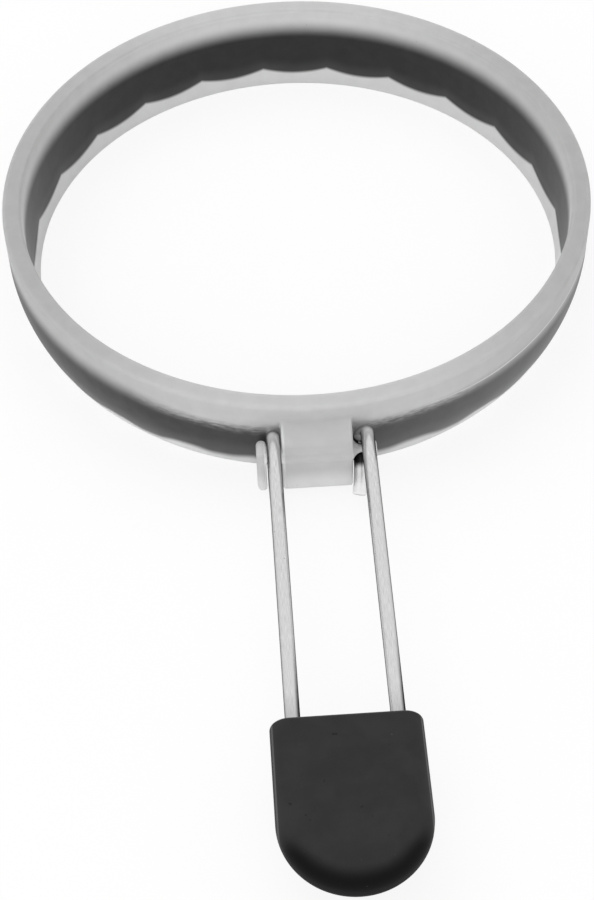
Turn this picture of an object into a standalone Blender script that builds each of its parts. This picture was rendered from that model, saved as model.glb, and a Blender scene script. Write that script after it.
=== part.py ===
"""Round egg ring with a fold-up wire handle.

Metres, +Z up. The ring stands on its base at z = 0 and the handle points along -Y.
The origin is under the middle of the object's bounding box.
"""
import math

import bpy
import bmesh
from mathutils import Matrix, Vector

# Ring body: a turned silicone wall under a wider bead
rim_radius = 0.0480          # outside of the bead
ring_height = 0.0154
bead_width = 0.0030          # across the bead's top face
bead_height = 0.0046
bead_round = 0.0007          # top outer corner
bead_inner_round = 0.0005
wall_step = 0.0012           # how far the wall stands in from the bead
slope_drop = 0.0028          # the wall swells into the bead from this far below it
slope_rise = 0.0018          # and reaches its full width this far up it
wall_taper = 0.00035         # the outer face leans in this much towards the base
wall_draft = 0.00065         # the inner face leans in this much from rim to lip
lip_height = 0.0034          # lip that seals against the pan
lip_reach = 0.00075
lip_round = 0.0001
base_round = 0.0003
ring_segments = 96

# Stiffener: a dark band moulded into the wall, with a scalloped lower edge
band_thickness = 0.0008
band_skin = 0.0005           # silicone between the band and the inner face
band_top_drop = 0.0001       # from the level of the bead's underside down to the band
band_lobe_height = 0.00175   # lowest points of the scallops above the base
scallop_depth = 0.00105
scallop_count = 24
scallop_phase = math.radians(-4.5)   # one cusp's angle from +Y towards +X
steps_per_scallop = 6
band_clearance = 0.0001

# Holes left in the base by the mould's pins, which held the band by its lowest points
locating_radius = 0.00045
locating_depth = 0.0020
locating_segments = 12
scallops_per_locating = 4
first_locating_lobe = 2.5    # in scallops from the phase cusp

# Handle wire: one bent length, hooked round the hinge pin at both ends
wire_radius = 0.00105
eye_radius = 0.0024          # wire centre to pin centre
leg_pitch = 0.01418          # between the two straight legs
tail_length = 0.0066
tail_droop = math.radians(28.0)
crossing_start = math.radians(28.0)  # the right leg crosses to its slot behind the pin,
crossing_end = math.radians(106.0)   # between these angles from the top of the eye
handle_length = 0.0737       # hinge pin to the tip of the grip
eye_steps = 14
bend_steps = 16
wire_side_resolution = 4

# Lug: a middle block and two outer cheeks, with a slot for the wire between them
slot_pitch = 0.0131          # between the centres of the two slots
slot_clearance = 0.00015     # each side of the wire
cheek_thickness = 0.00145
eye_clearance = 0.000175     # between the eyes of the wire and the wall behind them
axis_drop = 0.0029           # hinge axis below the level of the bead's underside
lug_nose = 0.0014            # lug in front of the hinge axis
lug_lift = 0.0010            # underside above the base
lug_crown_rise = 0.0021      # the block's sloping top starts this far above the bead's underside
lug_crown_inset = 0.0006     # and this far inside the bead
lug_slope_drop = 0.0023      # from there down to the front face
lug_front_round = 0.0012
lug_foot_round = 0.0006
lug_edge_round = 0.0004
block_root = 0.0012          # how deep the block and the cheeks are rooted in the wall
cheek_root = 0.0020
cheek_front_round = 0.0005
ear_radius = 0.00205         # round top of the left cheek
ear_steps = 8
relief_angle = math.radians(175.0)   # the right cheek is cut away behind the pin, down to here

# Hinge pin, and the silicone that flares onto it from both sides of each slot
pin_radius = 0.0005
pin_clearance = 0.0001
flare_inset = 0.0001         # root of the flare inside the hub's radius
flare_lip = 0.00015          # silicone left round the pin at the flare's tip
flare_length = 0.0006
pin_cover = 0.0003           # cheek left over the ends of the pin's bore
pin_segments = 24

# Grip: a moulded silicone pad over the closed end of the wire
grip_length = 0.0247
grip_width = 0.0206
grip_thickness = 0.0060
grip_round = 0.0026
grip_rear_round = 0.0004
grip_gap = 0.0003            # round the wire
grip_wall = 0.0022           # from the wire's bend to the tip
grip_round_steps = 5
grip_arc_steps = 24

# Overrun of the cuts, welding distance, and the angles that decide which edges are sharp
overrun = 0.0020
weld_distance = 0.000001
sharp_angle = math.radians(35.0)
bevel_angle = math.radians(50.0)
flat_angle = math.radians(0.5)
corner_steps = 3

# Worked out from the sizes above
step_height = ring_height - bead_height
wall_top_radius = rim_radius - wall_step
wall_base_radius = wall_top_radius - wall_taper
rim_inner_radius = rim_radius - bead_width
lip_top_radius = rim_inner_radius - wall_draft
lip_base_radius = lip_top_radius - lip_reach

eye_outer_radius = eye_radius + wire_radius
hub_radius = eye_radius - wire_radius - slot_clearance
slot_offset = slot_pitch / 2
slot_half_width = wire_radius + slot_clearance
block_half_width = slot_offset - slot_half_width
cheek_inner = slot_offset + slot_half_width
cheek_outer = cheek_inner + cheek_thickness

# The eyes stay clear of the curved wall, which is nearest to them at their inner sides
wall_reach = math.sqrt(wall_top_radius ** 2 - (slot_offset - wire_radius) ** 2)
axis_distance = wall_reach + eye_clearance + eye_outer_radius
axis_height = step_height - axis_drop
lug_front = axis_distance + lug_nose
lug_top = step_height + lug_crown_rise
lug_front_height = lug_top - lug_slope_drop
foot_top = axis_height - eye_outer_radius - slot_clearance
bore_half_length = cheek_outer - pin_cover

# Handle sizes are measured from the hinge axis
leg_center_x = (leg_pitch - slot_pitch) / 2
left_leg_x = leg_center_x - leg_pitch / 2
right_leg_x = leg_center_x + leg_pitch / 2
grip_front_y = -handle_length
grip_rear_y = grip_front_y + grip_length
bend_radius = leg_pitch / 2
bend_center_y = grip_front_y + grip_wall + wire_radius + bend_radius

total_reach = axis_distance + handle_length
ring_center_y = (total_reach - rim_radius) / 2


def clear_scene():
    for item in list(bpy.data.objects):
        bpy.data.objects.remove(item, do_unlink=True)


def new_collection(name):
    collection = bpy.data.collections.new(name)
    bpy.context.scene.collection.children.link(collection)
    return collection


clear_scene()
parts = new_collection("egg_ring")
cutters = new_collection("egg_ring_cutters")


def new_material(name, color, roughness, metallic):
    material = bpy.data.materials.new(name)
    material.use_nodes = True
    shader = material.node_tree.nodes["Principled BSDF"]
    shader.inputs["Base Color"].default_value = (*color, 1.0)
    shader.inputs["Roughness"].default_value = roughness
    shader.inputs["Metallic"].default_value = metallic
    material.diffuse_color = (*color, 1.0)
    return material


pale_silicone = new_material("pale_silicone", (0.56, 0.56, 0.56), 0.45, 0.0)
dark_nylon = new_material("dark_nylon", (0.10, 0.10, 0.10), 0.60, 0.0)
bright_steel = new_material("bright_steel", (0.62, 0.62, 0.62), 0.20, 1.0)
black_silicone = new_material("black_silicone", (0.035, 0.035, 0.035), 0.60, 0.0)


def new_empty(name, location, parent=None):
    empty = bpy.data.objects.new(name, None)
    parts.objects.link(empty)
    empty.location = location
    empty.parent = parent
    return empty


def add_part(name, data, material, parent, location=(0, 0, 0)):
    item = bpy.data.objects.new(name, data)
    parts.objects.link(item)
    item.parent = parent
    item.location = location
    data.materials.append(material)
    return item


def add_cutter(name, mesh, parent, location=(0, 0, 0), rotation=(0, 0, 0)):
    item = bpy.data.objects.new(name, mesh)
    cutters.objects.link(item)
    item.parent = parent
    item.location = location
    item.rotation_euler = rotation
    item.hide_render = True
    item.display_type = "WIRE"
    return item


def smooth(mesh):
    mesh.shade_smooth()
    mesh.set_sharp_from_angle(angle=sharp_angle)


def mesh_from_bmesh(name, shape):
    bmesh.ops.recalc_face_normals(shape, faces=shape.faces)
    mesh = bpy.data.meshes.new(name)
    shape.to_mesh(mesh)
    shape.free()
    return mesh


def add_boolean(item, name, other, operation):
    modifier = item.modifiers.new(name, "BOOLEAN")
    modifier.object = other
    modifier.operation = operation
    modifier.solver = "EXACT"


def add_bevel(item, name, width, segments):
    modifier = item.modifiers.new(name, "BEVEL")
    modifier.width = width
    modifier.segments = segments
    modifier.limit_method = "ANGLE"
    modifier.angle_limit = bevel_angle


def arc(center_u, center_v, radius, start, end, steps):
    """Points on a circle between two angles in degrees, both ends included."""
    points = []
    for index in range(steps + 1):
        angle = math.radians(start + (end - start) * index / steps)
        points.append((center_u + radius * math.cos(angle), center_v + radius * math.sin(angle)))
    return points


def rounded_outline(corners):
    """Points of an outline whose (u, v, radius) corners are each rounded by their radius."""
    points = []
    for index, (u, v, radius) in enumerate(corners):
        corner = Vector((u, v))
        before = (Vector(corners[index - 1][:2]) - corner).normalized()
        after = (Vector(corners[(index + 1) % len(corners)][:2]) - corner).normalized()
        half = before.angle(after) / 2
        center = corner + (before + after).normalized() * radius / math.sin(half)
        first_spoke = corner + before * radius / math.tan(half) - center
        last_spoke = corner + after * radius / math.tan(half) - center
        steps = corner_steps if radius > 0 else 0
        for step in range(steps + 1):
            spoke = first_spoke.lerp(last_spoke, step / max(steps, 1))
            place = center + spoke.normalized() * radius
            points.append((place.x, place.y))
    return points


def mesh_from_curve(name, curve):
    """The curve's evaluated mesh, with its caps welded and each made one face."""
    temporary = bpy.data.objects.new(name, curve)
    cutters.objects.link(temporary)
    graph = bpy.context.evaluated_depsgraph_get()
    mesh = bpy.data.meshes.new_from_object(temporary.evaluated_get(graph))
    bpy.data.objects.remove(temporary, do_unlink=True)
    shape = bmesh.new()
    shape.from_mesh(mesh)
    bmesh.ops.remove_doubles(shape, verts=shape.verts, dist=weld_distance)
    bmesh.ops.dissolve_limit(shape, angle_limit=flat_angle, verts=shape.verts, edges=shape.edges)
    bpy.data.meshes.remove(mesh)
    return mesh_from_bmesh(name, shape)



def outline_mesh(name, points, thickness):
    """A flat outline of (u, v) points, as thick as said, centred on its own plane."""
    curve = bpy.data.curves.new(name, "CURVE")
    curve.dimensions = "2D"
    curve.fill_mode = "BOTH"
    curve.extrude = thickness / 2
    spline = curve.splines.new("POLY")
    spline.points.add(len(points) - 1)
    for point, (u, v) in zip(spline.points, points):
        point.co = (u, v, 0, 1)
    spline.use_cyclic_u = True
    return mesh_from_curve(name, curve)


def tube_curve(name, points, radius):
    """A round wire through the points, with closed ends."""
    curve = bpy.data.curves.new(name, "CURVE")
    curve.dimensions = "3D"
    curve.bevel_depth = radius
    curve.bevel_resolution = wire_side_resolution
    curve.use_fill_caps = True
    spline = curve.splines.new("POLY")
    spline.points.add(len(points) - 1)
    for point, place in zip(spline.points, points):
        point.co = (*place, 1)
    return curve


def cone_mesh(name, base_radius, tip_radius, length, segments):
    """A round bar along its own Z, centred, that may taper upwards."""
    shape = bmesh.new()
    bmesh.ops.create_cone(shape, cap_ends=True, segments=segments,
                          radius1=base_radius, radius2=tip_radius, depth=length)
    return mesh_from_bmesh(name, shape)


def rod_mesh(name, radius, length, segments):
    return cone_mesh(name, radius, radius, length, segments)


# A side view drawn in (u, v): u runs outward along -Y and v up, with the thickness along X
side_view = Matrix(((0, 0, -1), (-1, 0, 0), (0, 1, 0))).to_euler()

# Empties that carry the parts: the ring's centre on the base, and the hinge axis
ring_center = new_empty("ring_center", (0, ring_center_y, 0))
hinge_axis = new_empty("hinge_axis", (0, -axis_distance, axis_height), ring_center)


def ring_profile():
    """Half section of the wall as (radius, height), down the outside and up the inside."""
    points = arc(rim_radius - bead_round, ring_height - bead_round, bead_round, 90, 0, 3)
    for share in slope_shares:
        height = step_height - slope_drop + share * (slope_drop + slope_rise)
        straight = wall_top_radius - wall_taper * (1 - height / step_height)
        swelling = share * share * (3 - 2 * share)
        points.append((straight + (rim_radius - straight) * swelling, height))
    points += arc(wall_base_radius - base_round, base_round, base_round, 0, -90, 2)
    points += arc(lip_base_radius + lip_round, lip_round, lip_round, -90, -180, 1)
    for share in lip_curve_shares:
        points.append((lip_top_radius - lip_reach * (1 - share) ** 2, lip_height * share))
    points += arc(rim_inner_radius + bead_inner_round, ring_height - bead_inner_round,
                  bead_inner_round, 180, 90, 2)
    return points


slope_shares = (1.0, 0.82, 0.66, 0.5, 0.34, 0.18, 0.0)
lip_curve_shares = (0.3, 0.65, 1.0)


def inner_radius_at(height):
    """Radius of the wall's inner face above the lip."""
    rise = (height - lip_height) / (ring_height - lip_height)
    return lip_top_radius + wall_draft * rise


def turned_mesh(name, profile):
    shape = bmesh.new()
    corners = [shape.verts.new((radius, 0, height)) for radius, height in profile]
    for index, corner in enumerate(corners):
        shape.edges.new((corner, corners[(index + 1) % len(corners)]))
    mesh = bpy.data.meshes.new(name)
    shape.to_mesh(mesh)
    shape.free()
    return mesh


def band_mesh(name, grow):
    """The band's middle surface as an open cone; its lower edge follows the scallops."""
    top = step_height - band_top_drop + grow
    low = band_lobe_height - grow
    offset = band_skin + band_thickness / 2
    shape = bmesh.new()
    bmesh.ops.create_cone(shape, cap_ends=False, segments=scallop_count * steps_per_scallop,
                          radius1=inner_radius_at(low) + offset,
                          radius2=inner_radius_at(top) + offset,
                          depth=top - low,
                          matrix=Matrix.Translation((0, 0, (top + low) / 2)))
    pitch = math.tau / scallop_count
    middle = (top + low) / 2
    turn = Matrix.Rotation(-scallop_phase, 3, "Z")
    for vertex in shape.verts:
        if vertex.co.z < middle:
            azimuth = math.atan2(vertex.co.x, vertex.co.y)
            across = 2 * (azimuth / pitch % 1) - 1
            height = low + scallop_depth * across ** 2
            scale = (inner_radius_at(height) + offset) / (inner_radius_at(low) + offset)
            vertex.co.x *= scale
            vertex.co.y *= scale
            vertex.co.z = height
        vertex.co = turn @ vertex.co
    mesh = bpy.data.meshes.new(name)
    shape.to_mesh(mesh)
    shape.free()
    return mesh


def thicken(item, thickness):
    modifier = item.modifiers.new("thickness", "SOLIDIFY")
    modifier.thickness = thickness
    modifier.offset = 0
    modifier.use_even_offset = True


def block_outline():
    """Side view of the middle block, with its sloping top running into the bead."""
    root = wall_top_radius - block_root
    crown = rim_radius - lug_crown_inset
    return rounded_outline((
        (root, lug_lift, 0),
        (lug_front, lug_lift, lug_foot_round),
        (lug_front, lug_front_height, lug_front_round),
        (crown, lug_top, 0),
        (root, lug_top, 0),
    ))


def cheek_outline(radius, last_angle, foot_reach):
    """Side view of a cheek: an ear round the pin, on a foot that clears the turning wire."""
    root = wall_top_radius - cheek_root
    corners = [(root, lug_lift, 0), (lug_front, lug_lift, lug_foot_round)]
    first_angle = 0
    if radius > lug_nose:
        first_angle = -math.asin(lug_nose / radius)
    else:
        corners.append((lug_front, axis_height + radius, cheek_front_round))
    for index in range(ear_steps + 1):
        angle = first_angle + (last_angle - first_angle) * index / ear_steps
        corners.append((axis_distance - radius * math.sin(angle),
                        axis_height + radius * math.cos(angle), 0))
    corners += [(axis_distance - foot_reach, foot_top, 0), (root, foot_top, 0)]
    return rounded_outline(corners)


def make_ring_body():
    ring = add_part("ring_body", turned_mesh("ring_body", ring_profile()), pale_silicone,
                    ring_center)
    screw = ring.modifiers.new("turn", "SCREW")
    screw.axis = "Z"
    screw.angle = math.tau
    screw.steps = ring_segments
    screw.render_steps = ring_segments
    screw.use_merge_vertices = True
    screw.merge_threshold = weld_distance
    screw.use_smooth_shade = True

    block = add_cutter("lug_block", outline_mesh("lug_block", block_outline(),
                                                 2 * block_half_width),
                       ring_center, rotation=side_view)
    add_bevel(block, "soft_edges", lug_edge_round, 2)
    add_boolean(ring, "join_block", block, "UNION")
    # The right leg lies on its cheek, which is lower and cut back where the wire crosses over
    relief_reach = (axis_height - foot_top) * math.tan(math.pi - relief_angle)
    left_outline = cheek_outline(ear_radius, math.pi / 2, ear_radius)
    right_outline = cheek_outline(hub_radius, relief_angle, relief_reach)
    for side, name, outline in ((-1, "cheek_left", left_outline), (1, "cheek_right", right_outline)):
        middle = side * (cheek_inner + cheek_thickness / 2)
        cheek = add_cutter(name, outline_mesh(name, outline, cheek_thickness),
                           ring_center, location=(middle, 0, 0), rotation=side_view)
        add_bevel(cheek, "soft_edges", lug_edge_round, 2)
        add_boolean(ring, "join_" + name, cheek, "UNION")

    root_radius = hub_radius - flare_inset
    tip_radius = pin_radius + pin_clearance + flare_lip
    for index, (wall_x, way) in enumerate((
            (-cheek_inner, 1), (-block_half_width, -1), (block_half_width, 1), (cheek_inner, -1))):
        mesh = cone_mesh("flare", root_radius, tip_radius, 2 * flare_length, pin_segments)
        flare = add_cutter("pin_flare_%d" % index, mesh, hinge_axis,
                           location=(wall_x, 0, 0), rotation=(0, way * math.pi / 2, 0))
        add_boolean(ring, "join_pin_flare_%d" % index, flare, "UNION")

    cavity = add_cutter("band_cavity", band_mesh("band_cavity", band_clearance), ring_center)
    thicken(cavity, band_thickness + 2 * band_clearance)
    add_boolean(ring, "cut_band_cavity", cavity, "DIFFERENCE")

    distance = inner_radius_at(band_lobe_height) + band_skin + band_thickness / 2
    for index in range(scallop_count // scallops_per_locating):
        scallops = first_locating_lobe + index * scallops_per_locating
        azimuth = scallop_phase + math.tau * scallops / scallop_count
        place = (distance * math.sin(azimuth), distance * math.cos(azimuth), 0)
        mesh = rod_mesh("locating_hole", locating_radius, 2 * locating_depth, locating_segments)
        hole = add_cutter("locating_hole_%d" % index, mesh, ring_center, location=place)
        add_boolean(ring, "cut_locating_hole_%d" % index, hole, "DIFFERENCE")

    bore = add_cutter("pin_bore", rod_mesh("pin_bore", pin_radius + pin_clearance,
                                           2 * bore_half_length, pin_segments),
                      hinge_axis, rotation=(0, math.pi / 2, 0))
    add_boolean(ring, "cut_pin_bore", bore, "DIFFERENCE")
    return ring


def make_stiffener_band():
    band = add_part("stiffener_band", band_mesh("stiffener_band", 0), dark_nylon, ring_center)
    thicken(band, band_thickness)
    return band


def make_hinge_pin():
    length = 2 * (bore_half_length - pin_clearance)
    mesh = rod_mesh("hinge_pin", pin_radius, length, pin_segments)
    smooth(mesh)
    pin = add_part("hinge_pin", mesh, bright_steel, hinge_axis)
    pin.rotation_euler = (0, math.pi / 2, 0)
    return pin


def hook_points(leg_x, slot_x):
    """From the tail's end, round the pin to the top of the eye, where the leg starts."""
    points = []
    last_angle = math.pi - tail_droop
    end_y = eye_radius * math.sin(last_angle) - tail_length * math.cos(tail_droop)
    end_z = eye_radius * math.cos(last_angle) - tail_length * math.sin(tail_droop)
    points.append((slot_x, end_y, end_z))
    for index in range(eye_steps + 1):
        angle = last_angle * (1 - index / eye_steps)
        crossed = (angle - crossing_start) / (crossing_end - crossing_start)
        crossed = min(max(crossed, 0), 1)
        blend = crossed * crossed * (3 - 2 * crossed)
        x = leg_x + (slot_x - leg_x) * blend
        points.append((x, eye_radius * math.sin(angle), eye_radius * math.cos(angle)))
    return points


def bend_points():
    """The closed end of the wire, from the right leg round to the left one."""
    points = []
    for u, v in arc(leg_center_x, bend_center_y, bend_radius, 0, -180, bend_steps):
        points.append((u, v, eye_radius))
    return points


def make_handle_wire():
    points = hook_points(right_leg_x, slot_offset)
    points += bend_points()
    points += reversed(hook_points(left_leg_x, -slot_offset))
    curve = tube_curve("handle_wire", points, wire_radius)
    return add_part("handle_wire", curve, bright_steel, hinge_axis)


def make_grip():
    half_width = grip_width / 2
    tip_center_y = grip_front_y + half_width
    stock_rear_y = grip_rear_y + grip_round + overrun
    outline = [(leg_center_x - half_width, stock_rear_y)]
    outline += arc(leg_center_x, tip_center_y, half_width, 180, 360, grip_arc_steps)
    outline.append((leg_center_x + half_width, stock_rear_y))
    grip = add_part("grip", outline_mesh("grip", outline, grip_thickness), black_silicone,
                    hinge_axis, location=(0, 0, eye_radius))
    add_bevel(grip, "pillow_edges", grip_round, grip_round_steps)

    trim_depth = 2 * (grip_round + overrun)
    shape = bmesh.new()
    size = Matrix.Diagonal((grip_width + 2 * overrun, trim_depth, grip_thickness + 2 * overrun, 1))
    bmesh.ops.create_cube(shape, size=1, matrix=size)
    trim = add_cutter("grip_trim", mesh_from_bmesh("grip_trim", shape), hinge_axis,
                      location=(leg_center_x, grip_rear_y + trim_depth / 2, eye_radius))
    add_boolean(grip, "square_rear", trim, "DIFFERENCE")
    add_bevel(grip, "rear_edge", grip_rear_round, 2)

    mouth_y = grip_rear_y + overrun
    points = [(right_leg_x, mouth_y, eye_radius)]
    points += bend_points()
    points.append((left_leg_x, mouth_y, eye_radius))
    channel_mesh = mesh_from_curve("wire_channel",
                                   tube_curve("wire_channel", points, wire_radius + grip_gap))
    channel = add_cutter("wire_channel", channel_mesh, hinge_axis)
    add_boolean(grip, "cut_channel", channel, "DIFFERENCE")
    return grip


make_ring_body()
make_stiffener_band()
make_hinge_pin()
make_handle_wire()
make_grip()
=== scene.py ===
"""Studio scene for the egg ring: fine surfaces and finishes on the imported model.

Metres, +Z up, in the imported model's frame. The ring stands at z = 0 and the handle points along -Y.
"""
import math

import bmesh
import bpy
import numpy as np
from mathutils import Matrix, Vector


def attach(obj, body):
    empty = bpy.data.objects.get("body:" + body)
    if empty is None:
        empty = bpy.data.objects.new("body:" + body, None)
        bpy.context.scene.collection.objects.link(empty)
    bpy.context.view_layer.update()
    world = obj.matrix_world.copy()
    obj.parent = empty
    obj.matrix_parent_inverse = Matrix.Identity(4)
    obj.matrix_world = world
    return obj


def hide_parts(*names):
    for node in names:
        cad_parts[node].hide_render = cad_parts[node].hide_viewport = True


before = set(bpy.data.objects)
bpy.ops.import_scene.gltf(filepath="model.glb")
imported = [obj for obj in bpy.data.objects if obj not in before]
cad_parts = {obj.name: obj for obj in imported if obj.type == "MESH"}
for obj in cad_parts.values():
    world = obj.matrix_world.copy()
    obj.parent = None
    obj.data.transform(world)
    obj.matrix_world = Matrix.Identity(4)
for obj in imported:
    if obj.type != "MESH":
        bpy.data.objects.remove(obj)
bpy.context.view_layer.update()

# Sizes of the model, which the fine surfaces follow
rim_radius = 0.0480
ring_height = 0.0154
bead_width = 0.0030
bead_height = 0.0046
bead_round = 0.0006
slope_drop = 0.0028
slope_rise = 0.0018
foot_inset = 0.0019
fullest_height = 0.0085
swell_angle = math.radians(24.0)
wall_step = 0.0012
wall_taper = 0.00035
wall_draft = 0.00065
lip_height = 0.0034
lip_reach = 0.00075
base_round = 0.0002

band_skin = 0.0005
band_lobe_height = 0.00175
scallop_depth = 0.00105
scallop_count = 24
scallop_phase = math.radians(-4.5)

wire_radius = 0.00105
eye_radius = 0.0024
leg_pitch = 0.01418
tail_length = 0.0066
tail_droop = math.radians(28.0)
tail_splay = 0.00055
splay_start = 0.0015
crossing_start = math.radians(28.0)
crossing_end = math.radians(106.0)
handle_length = 0.0737

slot_pitch = 0.0131
slot_clearance = 0.00015
cheek_thickness = 0.00145
eye_clearance = 0.000175
axis_drop = 0.0029
lug_nose = 0.0014
lug_lift = 0.0007
lug_crown_rise = 0.0021
lug_crown_inset = 0.0006
lug_slope_drop = 0.0023
lug_front_round = 0.0022
lug_foot_round = 0.0003
lug_edge_round = 0.00045
cheek_outer_round = 0.0008
lug_fillet = 0.0004
right_cheek_trim = 0.00025
ear_radius = 0.00205
relief_angle = math.radians(175.0)
sleeve_radius = 0.00054
flare_radius = 0.0016
flare_reach = 0.0018
flare_blend = 0.0002

grip_length = 0.0247
grip_width = 0.0206
grip_thickness = 0.0060
grip_side_round = 0.0027
grip_rear_round = 0.0007
grip_wall = 0.0022
mouth_gap = 0.0001

step_height = ring_height - bead_height
wall_top_radius = rim_radius - wall_step
rim_inner_radius = rim_radius - bead_width
lip_top_radius = rim_inner_radius - wall_draft
eye_outer_radius = eye_radius + wire_radius
hub_radius = eye_radius - wire_radius - slot_clearance
slot_offset = slot_pitch / 2
slot_half_width = wire_radius + slot_clearance
block_half_width = slot_offset - slot_half_width
cheek_inner = slot_offset + slot_half_width
cheek_middle = cheek_inner + cheek_thickness / 2
wall_reach = math.sqrt(wall_top_radius ** 2 - (slot_offset - wire_radius) ** 2)
axis_distance = wall_reach + eye_clearance + eye_outer_radius
axis_height = step_height - axis_drop
lug_front = axis_distance + lug_nose
lug_top = step_height + lug_crown_rise
foot_top = axis_height - eye_outer_radius - slot_clearance
leg_center_x = (leg_pitch - slot_pitch) / 2
bend_radius = leg_pitch / 2
ring_center_y = (axis_distance + handle_length - rim_radius) / 2
axis_y = ring_center_y - axis_distance
leg_height = axis_height + eye_radius

# Fineness of the meshes, and the angle to each side at which the lug's netted patch ends
outline_steps = 8
settle_rounds = 3
probe = 0.00001
least_slope = 0.1
lug_patch_angle = math.radians(14.0)
patch_step = 0.00016
patch_margin = 4 * patch_step
side_margin = 3 * patch_step
turn_step = math.radians(1.0)
profile_step = 0.00022
profile_closing = 0.8 * profile_step
first_steps = 8
wire_sides = 32
eye_points = 48
bend_points = 64
leg_points = 24
end_round = 0.00012
end_angle = math.radians(50.0)
grip_step = 0.0002
grip_margin = 4 * grip_step


def smooth_step(share, height=1):
    """Rises from 0 to the height, with a level start and end."""
    return height * share * share * (3 - 2 * share)


# Distance fields, for moulded forms whose edges run into each other

def smooth_min(a, b, width):
    """The lesser of two distances, with a fillet of about the width where they meet."""
    blend = np.clip(0.5 + 0.5 * (b - a) / width, 0, 1)
    return b + (a - b) * blend - width * blend * (1 - blend)


def smooth_max(a, b, width):
    return -smooth_min(-a, -b, width)


def rounded_box(a, b, round_size):
    """Two distances that are both kept, with the edge between them rounded."""
    outside_a = np.maximum(a + round_size, 0)
    outside_b = np.maximum(b + round_size, 0)
    return (np.minimum(np.maximum(a + round_size, b + round_size), 0)
            + np.hypot(outside_a, outside_b) - round_size)


def polygon_distance(u, v, corners):
    """Signed distance to a closed outline, negative inside."""
    best = np.full(u.shape, np.inf)
    inside = np.zeros(u.shape, bool)
    for index, (ax, ay) in enumerate(corners):
        bx, by = corners[index - 1]
        ex, ey = bx - ax, by - ay
        wx, wy = u - ax, v - ay
        share = np.clip((wx * ex + wy * ey) / (ex * ex + ey * ey), 0, 1)
        best = np.minimum(best, (wx - ex * share) ** 2 + (wy - ey * share) ** 2)
        crosses = (ay > v) != (by > v)
        reach = ex * (v - ay) / np.where(by == ay, 1, by - ay)
        inside ^= crosses & (wx < reach)
    return np.where(inside, -1, 1) * np.sqrt(best)


def rounded_outline(corners):
    """Points of an outline whose (u, v, radius) corners are each rounded by their radius."""
    points = []
    for index, (u, v, radius) in enumerate(corners):
        corner = Vector((u, v))
        if radius == 0:
            points.append((u, v))
            continue
        before = (Vector(corners[index - 1][:2]) - corner).normalized()
        after = (Vector(corners[(index + 1) % len(corners)][:2]) - corner).normalized()
        half = before.angle(after) / 2
        center = corner + (before + after).normalized() * radius / math.sin(half)
        first = corner + before * radius / math.tan(half) - center
        last = corner + after * radius / math.tan(half) - center
        for step in range(outline_steps + 1):
            place = center + first.lerp(last, step / outline_steps).normalized() * radius
            points.append((place.x, place.y))
    return points


def inner_radius(height):
    """Radius of the wall's inner face, with the lip that curves in towards the base."""
    rise = (height - lip_height) / (ring_height - lip_height)
    lip = np.clip(1 - height / lip_height, 0, 1)
    return lip_top_radius + wall_draft * rise - lip_reach * lip ** 2


def outer_radius(height):
    """Radius of the outer face beside the lug: a wall that swells into the bead."""
    straight = wall_top_radius - wall_taper * (1 - height / step_height)
    share = np.clip((height - step_height + slope_drop) / (slope_drop + slope_rise), 0, 1)
    return straight + smooth_step(share, rim_radius - straight)


def full_radius(height):
    """Radius of the outer face away from the lug: one soft curve from the base to the bead."""
    return rim_radius - foot_inset * np.clip(1 - height / fullest_height, 0, 1) ** 2


def ring_section(r, z):
    """Distance to the ring's turned section beside the lug."""
    low = np.clip((step_height - z) / bead_height, 0, 1)
    corner = bead_round + (base_round - bead_round) * low
    return rounded_box(np.maximum(r - outer_radius(z), inner_radius(z) - r),
                       np.maximum(-z, z - ring_height), corner)


def block_section():
    """The block's outline from the side: its distance outward and its height."""
    root = lip_top_radius + wall_step
    return rounded_outline((
        (root, lug_lift, 0),
        (lug_front, lug_lift, lug_foot_round),
        (lug_front, lug_top - lug_slope_drop, lug_front_round),
        (rim_radius - lug_crown_inset, lug_top, 0),
        (root, lug_top, 0),
    ))


def cheek_section(radius, last_angle, foot_reach):
    """A cheek's outline from the side, with an arc of the radius over the pin."""
    root = lip_top_radius + wall_step / 2
    corners = [(root, lug_lift, 0), (lug_front, lug_lift, lug_foot_round)]
    first_angle = 0
    if radius > lug_nose:
        first_angle = -math.asin(lug_nose / radius)
    else:
        corners.append((lug_front, axis_height + radius, lug_foot_round))
    for index in range(outline_steps + 1):
        angle = first_angle + (last_angle - first_angle) * index / outline_steps
        corners.append((axis_distance - radius * math.sin(angle),
                        axis_height + radius * math.cos(angle), 0))
    corners += [(axis_distance - foot_reach, foot_top, 0), (root, foot_top, 0)]
    return rounded_outline(corners)


block_outline = block_section()
left_outline = cheek_section(ear_radius, math.pi / 2, ear_radius)
right_outline = cheek_section(hub_radius, relief_angle,
                              (axis_height - foot_top) * math.tan(math.pi - relief_angle))


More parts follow.
